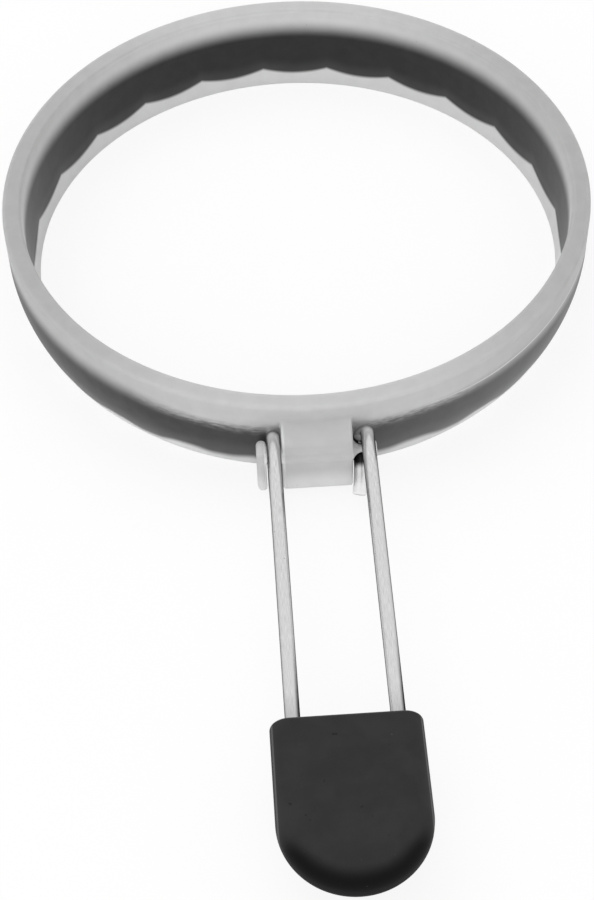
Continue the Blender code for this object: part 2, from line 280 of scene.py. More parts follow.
def lug_distance(x, u, v):
    """Distance to the block, the two cheeks and the flares round the pin."""
    block = rounded_box(polygon_distance(u, v, block_outline), np.abs(x) - block_half_width,
                        lug_edge_round)
    share = np.clip((np.abs(x) - cheek_middle) / cheek_thickness + 0.5, 0, 1)
    corner = lug_edge_round + (cheek_outer_round - lug_edge_round) * share
    left = rounded_box(polygon_distance(u, v, left_outline),
                       np.abs(x + cheek_middle) - cheek_thickness / 2, corner)
    right = rounded_box(polygon_distance(u, v, right_outline),
                        np.abs(x - cheek_middle + right_cheek_trim / 2)
                        - (cheek_thickness - right_cheek_trim) / 2, lug_edge_round)
    from_axis = np.hypot(u - axis_distance, v - axis_height)
    from_slot = np.maximum(slot_half_width - np.abs(np.abs(x) - slot_offset), 0) / flare_reach
    widest = np.where(x > slot_offset, hub_radius, flare_radius)
    waist = sleeve_radius + (widest - sleeve_radius) * np.clip(1 - from_slot, 0, 1) ** 3
    flare = np.maximum(from_axis - waist, np.abs(x) - cheek_middle)
    lug = np.minimum(np.minimum(block, left), right)
    return smooth_min(lug, flare, flare_blend)


def body_distance(p):
    """Distance to the ring with its lug."""
    x, y, z = p
    outward = ring_center_y - y
    ring = ring_section(np.hypot(x, outward), z)
    lug = lug_distance(x, outward, z)
    return smooth_min(ring, lug, lug_fillet)


def grip_distance(p):
    """Distance to the D-shaped pad, which has a channel for the bend of the wire."""
    x, y, z = p
    x = x - leg_center_x
    z = z - leg_height
    forward = axis_y - y - (handle_length - grip_width / 2)
    outline = np.where(forward > 0, np.hypot(x, forward), np.abs(x)) - grip_width / 2
    pad = rounded_box(outline, np.abs(z) - grip_thickness / 2, grip_side_round)
    rear = -(forward + grip_length - grip_width / 2)
    pad = rounded_box(pad, rear, grip_rear_round)
    past_bend = forward - (grip_width / 2 - grip_wall - wire_radius - bend_radius)
    from_legs = np.where(past_bend > 0, np.hypot(x, past_bend), np.abs(x)) - bend_radius
    channel = np.hypot(from_legs, z) - wire_radius - mouth_gap
    return smooth_max(pad, -channel, grip_rear_round / 2)


def surface_mesh(distance, low, high, step):
    """Vertices and quads of the surface where the distance is zero, by surface nets."""
    axes = [np.arange(a, b + step, step) for a, b in zip(low, high)]
    grid = np.stack(np.meshgrid(*axes, indexing="ij"))
    values = distance(grid)
    inside = values < 0
    shape = [n - 1 for n in inside.shape]
    total = np.zeros([3] + shape)
    count = np.zeros(shape)
    corners = [(i, j, k) for i in (0, 1) for j in (0, 1) for k in (0, 1)]
    window = (slice(None, -1), slice(1, None))
    for a in corners:
        for axis in range(3):
            if a[axis]:
                continue
            b = list(a)
            b[axis] = 1
            sa = tuple(window[bit] for bit in a)
            sb = tuple(window[bit] for bit in b)
            va, vb = values[sa], values[sb]
            cut = inside[sa] != inside[sb]
            share = np.where(cut, va / np.where(cut, va - vb, 1), 0)
            for direction in range(3):
                base = a[direction] + (share if direction == axis else 0)
                total[direction] += np.where(cut, base, 0)
            count += cut
    used = count > 0
    index = np.full(shape, -1)
    index[used] = np.arange(used.sum())
    cells = np.argwhere(used)
    places = np.array(low) + step * (cells + (total[:, used] / count[used]).T)
    quads = []
    for axis in range(3):
        others = [n for n in range(3) if n != axis]
        sa = [slice(1, -1)] * 3
        sb = [slice(1, -1)] * 3
        sa[axis] = slice(None, -1)
        sb[axis] = slice(1, None)
        cut = np.argwhere(inside[tuple(sa)] != inside[tuple(sb)])
        out = inside[tuple(sa)][tuple(cut.T)]
        cell = cut + 1
        cell[:, axis] -= 1
        ring = []
        for du, dv in ((0, 0), (-1, 0), (-1, -1), (0, -1)):
            at = cell.copy()
            at[:, others[0]] += du
            at[:, others[1]] += dv
            ring.append(index[tuple(at.T)])
        quad = np.stack(ring, 1)
        # Round the y axis the other two follow each other the opposite way
        keep = out if axis != 1 else ~out
        quads.append(np.where(keep[:, None], quad, quad[:, ::-1]))
    for _ in range(settle_rounds):
        places = settle(distance, places)
    return places, np.concatenate(quads)


def settle(distance, places):
    """Moves points onto the zero surface along the field's slope."""
    at = places.T
    value = distance(at)
    slope = []
    for axis in range(3):
        nudge = np.zeros((3, 1))
        nudge[axis] = probe
        slope.append((distance(at + nudge) - distance(at - nudge)) / (2 * probe))
    slope = np.stack(slope)
    return (at - slope * value / np.maximum((slope ** 2).sum(0), least_slope)).T


def new_mesh(name, places, faces):
    mesh = bpy.data.meshes.new(name)
    mesh.from_pydata([tuple(p) for p in places], [], [tuple(int(i) for i in f) for f in faces])
    mesh.shade_smooth()
    return mesh


def add_object(name, data):
    item = bpy.data.objects.new(name, data)
    bpy.context.scene.collection.objects.link(item)
    return item


# The moulded ring: a turned surface all round, and a netted patch where the lug grows out of it

def section_points():
    """The turned section's outline, walked at even steps along the zero line of its field."""
    start = np.array((rim_radius, ring_height - bead_height / 2))
    point = start
    points = []
    while len(points) <= first_steps or np.hypot(*(point - start)) >= profile_closing:
        point = settle_section(point)
        points.append(point)
        slope = section_slope(point)
        point = point + profile_step * np.array((slope[1], -slope[0]))
    return points


def section_slope(point):
    """Direction in which the section's distance grows."""
    r, z = point
    slope = np.array((ring_section(r + probe, z) - ring_section(r - probe, z),
                      ring_section(r, z + probe) - ring_section(r, z - probe)))
    return slope / np.hypot(*slope)


def settle_section(point):
    """Moves a point onto the section's zero line."""
    for _ in range(settle_rounds):
        point = point - section_slope(point) * ring_section(*point)
    return point


def turned_surface(points):
    """Rows of the section from one side of the lug patch round to the other."""
    span = math.tau - 2 * lug_patch_angle
    turns = round(span / turn_step)
    section = np.array(points)
    inner, outer = inner_radius(section[:, 1]), outer_radius(section[:, 1])
    outward = np.clip((section[:, 0] - inner) / (outer - inner), 0, 1)
    swelling = outward * (full_radius(section[:, 1]) - outer)
    places = []
    for row in range(turns + 1):
        angle = -math.pi / 2 + lug_patch_angle + span * row / turns
        share = min(min(row, turns - row) * span / turns / swell_angle, 1)
        radii = section[:, 0] + smooth_step(share, swelling)
        for r, z in zip(radii, section[:, 1]):
            places.append((r * math.cos(angle), ring_center_y + r * math.sin(angle), z))
    count = len(points)
    faces = []
    for row in range(turns):
        for column in range(count):
            a = row * count + column
            b = row * count + (column + 1) % count
            faces.append((b, a, a + count, b + count))
    return np.array(places), faces


def make_ring():
    """The turned surface and the patch, which is cut where the turned surface starts."""
    mesh = new_mesh("silicone_ring", *turned_surface(section_points()))
    ring = add_object("silicone_ring", mesh)
    half_width = rim_radius * math.sin(lug_patch_angle) + side_margin
    low = (-half_width, ring_center_y - lug_front - patch_margin, -patch_margin)
    nearest = lip_top_radius * math.cos(lug_patch_angle) - lip_reach - 2 * patch_margin
    high = (half_width, ring_center_y - nearest, ring_height + patch_margin)
    patch = new_mesh("lug_patch", *surface_mesh(body_distance, low, high, patch_step))
    shape = bmesh.new()
    shape.from_mesh(patch)
    for side in (-1, 1):
        normal = Vector((side * math.cos(lug_patch_angle), math.sin(lug_patch_angle), 0))
        bmesh.ops.bisect_plane(shape, geom=shape.verts[:] + shape.edges[:] + shape.faces[:],
                               plane_co=(0, ring_center_y, 0), plane_no=normal, clear_outer=True)
    shape.from_mesh(mesh)
    shape.to_mesh(mesh)
    shape.free()
    bpy.data.meshes.remove(patch)
    mesh.shade_smooth()
    return ring


# The bent wire

def hook_points(leg_x, slot_x, splay):
    """From the tail's end, round the pin to the top of the eye, in the hinge's frame."""
    points = []
    last_angle = math.pi - tail_droop
    for step in range(leg_points):
        along = tail_length * (1 - step / leg_points)
        bent = max((along - splay_start) / (tail_length - splay_start), 0)
        points.append((slot_x - splay * bent * bent,
                       eye_radius * math.sin(last_angle) - along * math.cos(tail_droop),
                       eye_radius * math.cos(last_angle) - along * math.sin(tail_droop)))
    for index in range(eye_points + 1):
        angle = last_angle * (1 - index / eye_points)
        crossed = (angle - crossing_start) / (crossing_end - crossing_start)
        blend = smooth_step(min(max(crossed, 0), 1))
        points.append((leg_x + (slot_x - leg_x) * blend,
                       eye_radius * math.sin(angle), eye_radius * math.cos(angle)))
    return points


def wire_path():
    """The wire's middle line, from the right tail round the closed end to the left tail."""
    left_x = leg_center_x - bend_radius
    right_x = leg_center_x + bend_radius
    bend_y = -handle_length + grip_wall + wire_radius + bend_radius
    points = hook_points(right_x, slot_offset, tail_splay)
    for step in range(1, leg_points):
        points.append((right_x, bend_y * step / leg_points, eye_radius))
    for step in range(bend_points + 1):
        angle = -math.pi * step / bend_points
        points.append((leg_center_x + bend_radius * math.cos(angle),
                       bend_y + bend_radius * math.sin(angle), eye_radius))
    for step in range(1, leg_points):
        points.append((left_x, bend_y * (1 - step / leg_points), eye_radius))
    points += reversed(hook_points(left_x, -slot_offset, 0))
    return np.array(points) + np.array((0, axis_y, axis_height))


def make_wire():
    """Sweeps a circle along the path, with the distance travelled kept as a UV for the finish."""
    path = wire_path()
    tangent = np.gradient(path, axis=0)
    tangent /= np.linalg.norm(tangent, axis=1)[:, None]
    travelled = np.concatenate(([0], np.cumsum(np.linalg.norm(np.diff(path, axis=0), axis=1))))
    side = np.array((1.0, 0.0, 0.0))
    rings = []
    for place, along in zip(path, tangent):
        side = side - along * side.dot(along)
        side /= np.linalg.norm(side)
        rings.append((place, side, np.cross(along, side)))
    rows = []
    lengths = []

    def add_row(ring, radius, shift, length):
        place, across, up = ring
        along = np.cross(across, up)
        rows.append([place + along * shift + radius * (across * math.cos(a) + up * math.sin(a))
                     for a in np.linspace(0, math.tau, wire_sides, endpoint=False)])
        lengths.append(length)

    add_row(rings[0], wire_radius - end_round, 0, 0)
    add_row(rings[0], wire_radius, end_round, end_round)
    for ring, length in zip(rings[1:-1], travelled[1:-1]):
        add_row(ring, wire_radius, 0, length)
    add_row(rings[-1], wire_radius, -end_round, travelled[-1] - end_round)
    add_row(rings[-1], wire_radius - end_round, 0, travelled[-1])
    places = np.array(rows).reshape(-1, 3)
    faces = []
    for row in range(len(rows) - 1):
        for column in range(wire_sides):
            a = row * wire_sides + column
            b = row * wire_sides + (column + 1) % wire_sides
            faces.append((a, b, b + wire_sides, a + wire_sides))
    faces.append(tuple(reversed(range(wire_sides))))
    faces.append(tuple(range(len(places) - wire_sides, len(places))))
    wire = add_object("bent_wire", new_mesh("bent_wire", places, faces))
    face_outward(wire)
    layer = wire.data.uv_layers.new(name="along_wire")
    for polygon in wire.data.polygons:
        for loop in polygon.loop_indices:
            vertex = wire.data.loops[loop].vertex_index
            row, column = divmod(vertex, wire_sides)
            turn = column / wire_sides
            if polygon.vertices[0] % wire_sides == wire_sides - 1 and column == 0:
                turn = 1
            layer.data[loop].uv = (turn, lengths[row] / tail_length)
    wire.data.set_sharp_from_angle(angle=end_angle)
    return wire


def face_outward(item):
    shape = bmesh.new()
    shape.from_mesh(item.data)
    bmesh.ops.recalc_face_normals(shape, faces=shape.faces)
    shape.to_mesh(item.data)
    shape.free()


def make_grip():
    front_y = axis_y - handle_length
    low = (leg_center_x - grip_width / 2 - grip_margin, front_y - grip_margin,
           leg_height - grip_thickness / 2 - grip_margin)
    high = (leg_center_x + grip_width / 2 + grip_margin, front_y + grip_length + grip_margin,
            leg_height + grip_thickness / 2 + grip_margin)
    mesh = new_mesh("silicone_grip", *surface_mesh(grip_distance, low, high, grip_step))
    grip = add_object("silicone_grip", mesh)
    face_outward(grip)
    return grip


# Paint. A fade is the pair of places where a smooth step starts and ends, a noise is the pair of
# its scale and detail, and tones are linear light.

def linear(level):
    """Linear light of an 8-bit screen grey of 11 or more, by the sRGB curve."""
    return ((level / 255 + 0.055) / 1.055) ** 2.4


noise_spread = (0.3, 0.7)

# The ring, where the band is left out: over the lug, whose silicone is thick enough to hide it, and
# over the wall in the slots beside the block, which is left pale as painted light
front_fade = (-0.02, -0.01)
lug_reach_fade = (wall_top_radius + 0.0004, wall_top_radius + 0.0010)
cheek_fade = (0.0096, 0.0102)
block_left_fade = (-0.0077, -0.0070)
block_right_fade = (0.0068, 0.0084)

# The band through the inner face
band_middle = lip_top_radius + band_skin * 2
outside_fade = (band_middle, band_middle + band_skin)
inner_edge_fade = (-0.0001, 0.0006)
inner_top_fade = (0.0096, 0.0137)
inner_depth_fade = (0.0, 0.0032)
inner_band_tones = (linear(60), linear(14))
inner_band_mottle = 0.2

# The band through the outer face: heights beside the lug, at the left and at the right
foot_wave_at_lug = 0.45
outer_foot_fade = (0.0005, 0.0020)
outer_side_fade = (-0.7, 0.9)
outer_top_starts = (0.0068, 0.0091, 0.0083)
outer_top_ends = (0.0112, 0.0134, 0.0119)
# Painted shade: the band's tone runs from darker at the left to lighter at the right, and painted
# light lightens it towards its foot
outer_band_shade_sides = (-0.5, 0.9)
outer_band_side_shaded_tones = (linear(40), linear(84))
outer_band_mottle = 0.4
band_foot_painted_light = 0.06
band_foot_painted_light_fade = (0.0008, 0.0060)
# Painted reflections: noise ripples the band's top edge beside the lug
reflection_ripple_noise = (1.0, 1.0)
reflection_ripple_scales = (30.0, 1500.0)
reflection_ripple_depth = 0.8
reflection_ripple_fade = (math.radians(18.0), math.radians(40.0))

# The pale silicone, with painted shade at the left and right sides, and painted light on the inner
# face and at the thin foot
pale_side_shade_fade = (0.2, 1.0)
pale_tones_with_side_shade = (linear(197), linear(176))
thin_foot_painted_light_tone = linear(224)
thin_foot_painted_light_fade = (0.0020, 0.0055)
inward_painted_light = 0.16
inward_fade = (rim_inner_radius - 0.0002, rim_inner_radius + 0.0002)
mottle_noise = (420.0, 3.0)
mottle_depth = 0.012
ring_speck_noise = (1500.0, 1.0)
ring_speck_spread = (0.80, 0.83)
ring_speck_share = 0.55
ring_grain_noise = (2600.0, 2.0)
ring_wave_noise = (300.0, 1.0)
ring_wave_weight = 4.0
ring_grain_depth = 0.000012

# The lug's painted highlights along its edges: the right cheek's, the left cheek's and the block's
edge_highlight_tone = linear(245)
right_edge_highlight_fade = (0.0086, 0.0088)
beside_pin_fade = (axis_height + hub_radius, step_height)
left_edge_highlight_rise = (-0.00815, -0.00790)
left_edge_highlight_fall = (-0.0076, -0.0070)
left_edge_highlight_share = 0.8
below_ear_fade = (axis_height + ear_radius, axis_height + ear_radius + 0.0003)
block_edge_highlight_rise = (-0.0056, -0.0054)
block_edge_highlight_fall = (-0.0051, -0.0048)
block_edge_highlight_share = 0.5
below_crown_fade = (step_height, lug_top)

# A painted highlight along the mould's fine seam at the right
seam_highlight_tone = linear(228)
seam_highlight_share = 0.7
seam_heights = (0.01045, 0.0112)
seam_climb = (math.radians(22.0), math.radians(60.0))
seam_width_fade = (0.00006, 0.00020)
seam_start_fade = (math.radians(13.0), math.radians(24.0))
seam_side_fade = (0.15, 0.25)

# The wire: its drawn lines, then the painted shades in the slots and at the grip's mouth, and painted
# highlights on the hook tops and tail tips
line_stretch = (14.0, 0.5, 1.0)
line_noise = (9.0, 6.0)
line_depth = 0.00001
steel_tones = (linear(200), linear(224))
steel_roughness = (0.2, 0.12)
nick_noise = (900.0, 1.0)
nick_spread = (0.76, 0.80)
nick_share = 0.6
pin_level_fade = (-0.0006, 0.0006)
hook_shades = (0.04, 0.75)
hook_shade_starts = (eye_radius - wire_radius / 5, eye_radius - wire_radius)
above_pin_fade = (-0.0002, 0.0006)
in_slot_fade = (eye_radius - wire_radius / 2, eye_radius)
behind_pin_fade = (-0.0006, 0.0014)
hook_top_highlight_fade = (eye_radius - wire_radius / 2, eye_radius + wire_radius / 2)
hook_top_highlight_tone = linear(252)
tail_tip_highlight_fade = (0.0012, 0.0030)
tail_tip_depth = axis_height - eye_radius
tail_tip_highlight_tone = linear(250)
slot_softness = 0.8
tail_softness = 0.8
hook_softness = 0.2
mouth_shade = 0.22
mouth_shade_fade = (0.0, 0.006)
side_shade = 0.85
side_shade_fade = (0.0, 0.016)
side_shade_turn = (wire_radius * 0.35, wire_radius * 0.85)

# The grip: a painted shade round its front, and painted highlights along its rims
grip_tones = (linear(46), linear(51))
grip_cloud_noise = (260.0, 4.0)
nose_shade_start_fade = (0.001, 0.006)
nose_shade_reach_fade = (0.0072, 0.0102)
nose_shade_share = 0.08
rim_highlight_tone = linear(100)
rim_highlight_inset = 0.00032
rim_highlight_width_fade = (0.00006, 0.00016)
rim_highlight_share = 0.7
rim_highlight_length_fade = (0.0, 0.006)
rim_highlight_height_fade = (leg_height, leg_height + 0.0004)
rear_rim_highlight_fade = (0.0002, 0.0005)
rear_rim_highlight_share = 0.6
rear_rim_highlight_height_fade = (leg_height, leg_height + 0.001)
smudge_noise = (800.0, 1.0)
smudge_spread = (0.74, 0.78)
smudge_share = 0.6
dust_noise = (1900.0, 1.0)
dust_spread = (0.80, 0.84)
dust_tone = 0.05
grip_grain_noise = (3200.0, 2.0)
grip_grain_depth = 0.00001

# The carried-over band and pin
band_noise = (900.0, 3.0)
band_tones = (linear(60), linear(72))
pin_noise = (2000.0, 3.0)
pin_tones = (linear(205), linear(225))


class Nodes:
    """Short calls for building one material's nodes."""

    def __init__(self, name, sockets):
        self.material = bpy.data.materials.new(name)
        self.material.use_nodes = True
        self.tree = self.material.node_tree
        self.shader = self.tree.nodes["Principled BSDF"]
        for socket, value in sockets.items():
            self.shader.inputs[socket].default_value = value

    def add(self, kind, **settings):
        node = self.tree.nodes.new(kind)
        for key, value in settings.items():
            setattr(node, key, value)
        return node

    def link(self, source, target):
        self.tree.links.new(source, target)

    def feed(self, value, socket):
        if isinstance(value, bpy.types.NodeSocket):
            self.link(value, socket)
        else:
            socket.default_value = value

    def math(self, operation, first, *others):
        """An operation on one value, or on several that are taken in one after the other."""
        for other in others or (0.0,):
            node = self.add("ShaderNodeMath", operation=operation)
            self.feed(first, node.inputs[0])
            self.feed(other, node.inputs[1])
            first = node.outputs[0]
        return first

    def times(self, *factors):
        return self.math("MULTIPLY", *factors)

    def plus(self, a, b):
        return self.math("ADD", a, b)

    def minus(self, a, b):
        return self.math("SUBTRACT", a, b)

    def size(self, value):
        return self.math("ABSOLUTE", value)

    def length(self, a, b):
        return self.math("SQRT", self.plus(self.times(a, a), self.times(b, b)))

    def ramp(self, value, fade, first=0.0, last=1.0):
        """A smooth step over the fade, from the first to the last value."""
        node = self.add("ShaderNodeMapRange", interpolation_type="SMOOTHSTEP")
        self.feed(value, node.inputs["Value"])
        for name, end in zip(("From Min", "From Max", "To Min", "To Max"), (*fade, first, last)):
            self.feed(end, node.inputs[name])
        return node.outputs["Result"]

    def fall(self, value, fade, height=1.0):
        """A smooth step down to nothing."""
        return self.ramp(value, fade, height, 0.0)

    def noise(self, fineness, vector=None):
        node = self.add("ShaderNodeTexNoise")
        node.inputs["Scale"].default_value, node.inputs["Detail"].default_value = fineness
        self.link(vector or self.position(), node.inputs["Vector"])
        return node.outputs["Fac"]

    def cloud(self, fineness, first, last, spread=noise_spread):
        """A noise spread from the first to the last value."""
        return self.ramp(self.noise(fineness), spread, first, last)

    def position(self):
        return self.add("ShaderNodeTexCoord").outputs["Object"]

    def coordinates(self):
        """The x, y and z of the place on the object."""
        node = self.add("ShaderNodeSeparateXYZ")
        self.link(self.position(), node.inputs[0])
        return node.outputs

    def mix(self, share, a, b):
        """Blends two values or sockets."""
        node = self.add("ShaderNodeMix", data_type="FLOAT")
        self.feed(share, node.inputs["Factor"])
        self.feed(a, node.inputs["A"])
        self.feed(b, node.inputs["B"])
        return node.outputs["Result"]

    def paint(self, tone):
        """Colours the surface with a grey."""
        node = self.add("ShaderNodeCombineColor")
        for name in ("Red", "Green", "Blue"):
            self.feed(tone, node.inputs[name])
        self.link(node.outputs["Color"], self.shader.inputs["Base Color"])

    def bump(self, height, distance):
        node = self.add("ShaderNodeBump")
        node.inputs["Distance"].default_value = distance
        self.link(height, node.inputs["Height"])
        self.link(node.outputs["Normal"], self.shader.inputs["Normal"])


class RingPlace:
    """Where a point of the ring lies, as sockets that the parts of its paint share."""

    def __init__(self, nodes):
        self.x, y, self.z = nodes.coordinates()
        outward = nodes.minus(y, ring_center_y)
        self.radius = nodes.length(self.x, outward)
        self.to_right = nodes.math("DIVIDE", self.x, self.radius)
        self.azimuth = nodes.math("ARCTAN2", self.x, outward)
        self.from_lug = nodes.minus(math.pi, nodes.size(self.azimuth))
        self.full = nodes.ramp(self.from_lug, (lug_patch_angle, lug_patch_angle + swell_angle))
        self.turns = nodes.math("DIVIDE", nodes.minus(self.azimuth, scallop_phase),
                                math.tau / scallop_count)
        self.is_outside = nodes.ramp(self.radius, outside_fade)
        self.in_front = nodes.fall(outward, front_fade)
        self.lug_reach = nodes.times(nodes.ramp(self.radius, lug_reach_fade), self.in_front)
        self.in_cheeks = nodes.times(self.lug_reach, nodes.fall(nodes.size(self.x), cheek_fade))


def band_inside(nodes, place):
    """The height above the band's scallops, and how much of it shows in the inner face."""
    lobe = nodes.math("FRACT", nodes.plus(place.turns, scallop_count))
    across = nodes.minus(nodes.times(lobe, 2.0), 1.0)
    scallop = nodes.times(across, across, scallop_depth)
    above_edge = nodes.minus(nodes.minus(place.z, scallop), band_lobe_height)
    return above_edge, nodes.times(nodes.ramp(above_edge, inner_edge_fade),
                                   nodes.fall(place.z, inner_top_fade))


def band_outside(nodes, place):
    """How much of the band shows in the outer face, with a rippled top beside the lug whose ripples
    are painted reflections.
    """
    wave = nodes.math("COSINE", nodes.times(place.turns, math.tau))
    foot_wave = nodes.times(nodes.ramp(wave, (-1.0, 1.0), 0.0, scallop_depth),
                            nodes.mix(place.full, foot_wave_at_lug, 1.0))
    foot = nodes.ramp(nodes.minus(place.z, foot_wave), outer_foot_fade)
    top_fade = [nodes.mix(place.full, at_lug, nodes.ramp(place.to_right, outer_side_fade, *sides))
                for at_lug, *sides in (outer_top_starts, outer_top_ends)]
    top = nodes.fall(place.z, top_fade)
    # Painted reflections rippling the band's top edge beside the lug
    along_rim = nodes.add("ShaderNodeCombineXYZ")
    for value, scale, socket in zip((place.azimuth, place.z), reflection_ripple_scales, along_rim.inputs):
        nodes.link(nodes.times(value, scale), socket)
    reflection_ripple = nodes.ramp(nodes.noise(reflection_ripple_noise, along_rim.outputs[0]), noise_spread,
                        -reflection_ripple_depth, reflection_ripple_depth)
    in_fade = nodes.times(top, nodes.minus(1.0, top))
    top = nodes.plus(top, nodes.times(reflection_ripple, nodes.fall(place.from_lug, reflection_ripple_fade), in_fade))
    # Over the lug and the slots beside the block the band is left out; in the slots this is painted
    # light
    behind_block = nodes.times(nodes.ramp(place.x, block_left_fade),
                               nodes.fall(place.x, block_right_fade), place.in_front)
    in_lug = nodes.math("MAXIMUM", place.in_cheeks, behind_block)
    return nodes.times(foot, top, nodes.minus(1.0, in_lug))


def pale_tone_with_painted_light(nodes, place, mottle):
    """The silicone's pale tone, with painted shade darkening the left and right sides and painted
    light where it faces inwards and at its thin foot.
    """
    # Painted shade at the left and right sides, then painted light on the inner face
    tone = nodes.plus(mottle, nodes.ramp(nodes.size(place.to_right), pale_side_shade_fade, *pale_tones_with_side_shade))
    tone = nodes.plus(tone, nodes.fall(place.radius, inward_fade, inward_painted_light))
    # Painted light at the thin foot
    return nodes.mix(nodes.fall(place.z, thin_foot_painted_light_fade), tone, nodes.plus(mottle, thin_foot_painted_light_tone))


def lug_edge_highlights(nodes, place):
    """Painted highlights: the bright lines down the edges of the cheeks and the block."""
    right = nodes.times(place.in_cheeks, nodes.fall(place.z, beside_pin_fade),
                        nodes.ramp(place.x, right_edge_highlight_fade))
    left = nodes.times(nodes.ramp(place.x, left_edge_highlight_rise), nodes.fall(place.x, left_edge_highlight_fall),
                       place.in_cheeks, nodes.fall(place.z, below_ear_fade, left_edge_highlight_share))
    block = nodes.times(nodes.ramp(place.x, block_edge_highlight_rise),
                        nodes.fall(place.x, block_edge_highlight_fall, block_edge_highlight_share),
                        place.lug_reach, nodes.fall(place.z, below_crown_fade))
    return nodes.math("MAXIMUM", right, left, block)


def seam_highlight_line(nodes, place):
    """The fine line on the outer face that climbs away from the lug: the mould's seam, painted
    lighter as a highlight.
    """
    height = nodes.ramp(place.from_lug, seam_climb, *seam_heights)
    from_seam = nodes.size(nodes.minus(place.z, height))
    return nodes.times(nodes.fall(from_seam, seam_width_fade, seam_highlight_share),
                       nodes.ramp(place.from_lug, seam_start_fade),
                       nodes.ramp(place.to_right, seam_side_fade), place.full, place.is_outside)


def silicone_ring_material():
    """Pale translucent silicone that lets the dark band inside the wall show."""
    nodes = Nodes("ring_silicone", {
        "Roughness": 0.42,
        "Specular IOR Level": 0.4,
        "Subsurface Weight": 0.6,
        "Subsurface Radius": (1.0, 1.0, 1.0),
        "Subsurface Scale": 0.0015,
    })
    place = RingPlace(nodes)
    mottle = nodes.cloud(mottle_noise, -mottle_depth, mottle_depth)
    pale = pale_tone_with_painted_light(nodes, place, mottle)
    above_edge, band_share = band_inside(nodes, place)
    band_tone = nodes.plus(nodes.times(mottle, inner_band_mottle),
                           nodes.ramp(above_edge, inner_depth_fade, *inner_band_tones))
    inner = nodes.mix(band_share, pale, band_tone)
    # Painted shade from left to right, and painted light towards the foot
    band_tone = nodes.plus(nodes.ramp(place.to_right, outer_band_shade_sides, *outer_band_side_shaded_tones),
                           nodes.fall(place.z, band_foot_painted_light_fade, band_foot_painted_light))
    band_tone = nodes.plus(nodes.times(mottle, outer_band_mottle), band_tone)
    outer = nodes.mix(band_outside(nodes, place), pale, band_tone)
    tone = nodes.mix(place.is_outside, inner, outer)
    # Painted highlights along the lug's edges
    tone = nodes.mix(lug_edge_highlights(nodes, place), tone, edge_highlight_tone)
    # Painted highlight along the mould's seam
    tone = nodes.mix(seam_highlight_line(nodes, place), tone, seam_highlight_tone)
    specks = nodes.cloud(ring_speck_noise, 1.0, ring_speck_share, ring_speck_spread)
    nodes.paint(nodes.times(tone, specks))
    waves = nodes.times(nodes.noise(ring_wave_noise), ring_wave_weight)
    nodes.bump(nodes.plus(nodes.noise(ring_grain_noise), waves), ring_grain_depth)
    return nodes.material


def wire_material():
    """Bright drawn steel with fine lines along the wire, with painted shade in the slots and at the
    grip and painted highlights on the hook tops and tail tips.
    """
    nodes = Nodes("drawn_steel", {"Specular Tint": (0.0, 0.0, 0.0, 1.0)})
    uv = nodes.add("ShaderNodeUVMap", uv_map="along_wire")
    stretch = nodes.add("ShaderNodeMapping")
    stretch.inputs["Scale"].default_value = line_stretch
    nodes.link(uv.outputs[0], stretch.inputs["Vector"])
    lines = nodes.noise(line_noise, stretch.outputs[0])
    nicks = nodes.cloud(nick_noise, 1.0, nick_share, nick_spread)
    x, y, z = nodes.coordinates()
    along = nodes.minus(y, axis_y)
    above = nodes.minus(z, axis_height)
    from_axis = nodes.length(along, above)

    shade = nodes.ramp(above, pin_level_fade, *hook_shades)
    shade_start = nodes.ramp(above, pin_level_fade, *hook_shade_starts)
    shade_fade = (shade_start, nodes.plus(shade_start, wire_radius))
    tone = nodes.times(nodes.ramp(lines, noise_spread, *steel_tones), nicks,
                       nodes.ramp(from_axis, shade_fade, shade, 1.0))
    above_pin = nodes.ramp(above, above_pin_fade)
    in_slot = nodes.times(above_pin, nodes.fall(from_axis, in_slot_fade))
    # Painted highlight lightening the tails' ends towards white
    tail_tip_highlight = nodes.times(nodes.ramp(nodes.minus(-lug_nose, along), tail_tip_highlight_fade),
                         nodes.fall(z, (tail_tip_depth, tail_tip_depth + wire_radius)))
    tone = nodes.mix(tail_tip_highlight, tone, tail_tip_highlight_tone)
    # Painted highlight lightening the top of each hook behind the pin
    hook_top_highlight = nodes.times(above_pin, nodes.ramp(along, behind_pin_fade),
                           nodes.ramp(from_axis, hook_top_highlight_fade))
    tone = nodes.mix(hook_top_highlight, tone, hook_top_highlight_tone)

    to_mouth = nodes.plus(along, handle_length - grip_length)
    near_grip = nodes.fall(to_mouth, mouth_shade_fade, mouth_shade)
    from_middle = nodes.minus(x, leg_center_x)
    leg_middle = nodes.times(nodes.math("SIGN", from_middle), leg_pitch / 2)
    leg_side = nodes.ramp(nodes.minus(from_middle, leg_middle), side_shade_turn)
    on_side = nodes.times(nodes.fall(to_mouth, side_shade_fade, side_shade), leg_side)
    nodes.paint(nodes.times(tone, nodes.minus(1.0, near_grip), nodes.minus(1.0, on_side)))

    soft = nodes.math("MAXIMUM", nodes.times(in_slot, slot_softness),
                      nodes.times(tail_tip_highlight, tail_softness), nodes.times(hook_top_highlight, hook_softness))
    nodes.link(nodes.minus(1.0, soft), nodes.shader.inputs["Metallic"])
    nodes.link(nodes.ramp(lines, noise_spread, *steel_roughness), nodes.shader.inputs["Roughness"])
    nodes.bump(lines, line_depth)
    return nodes.material


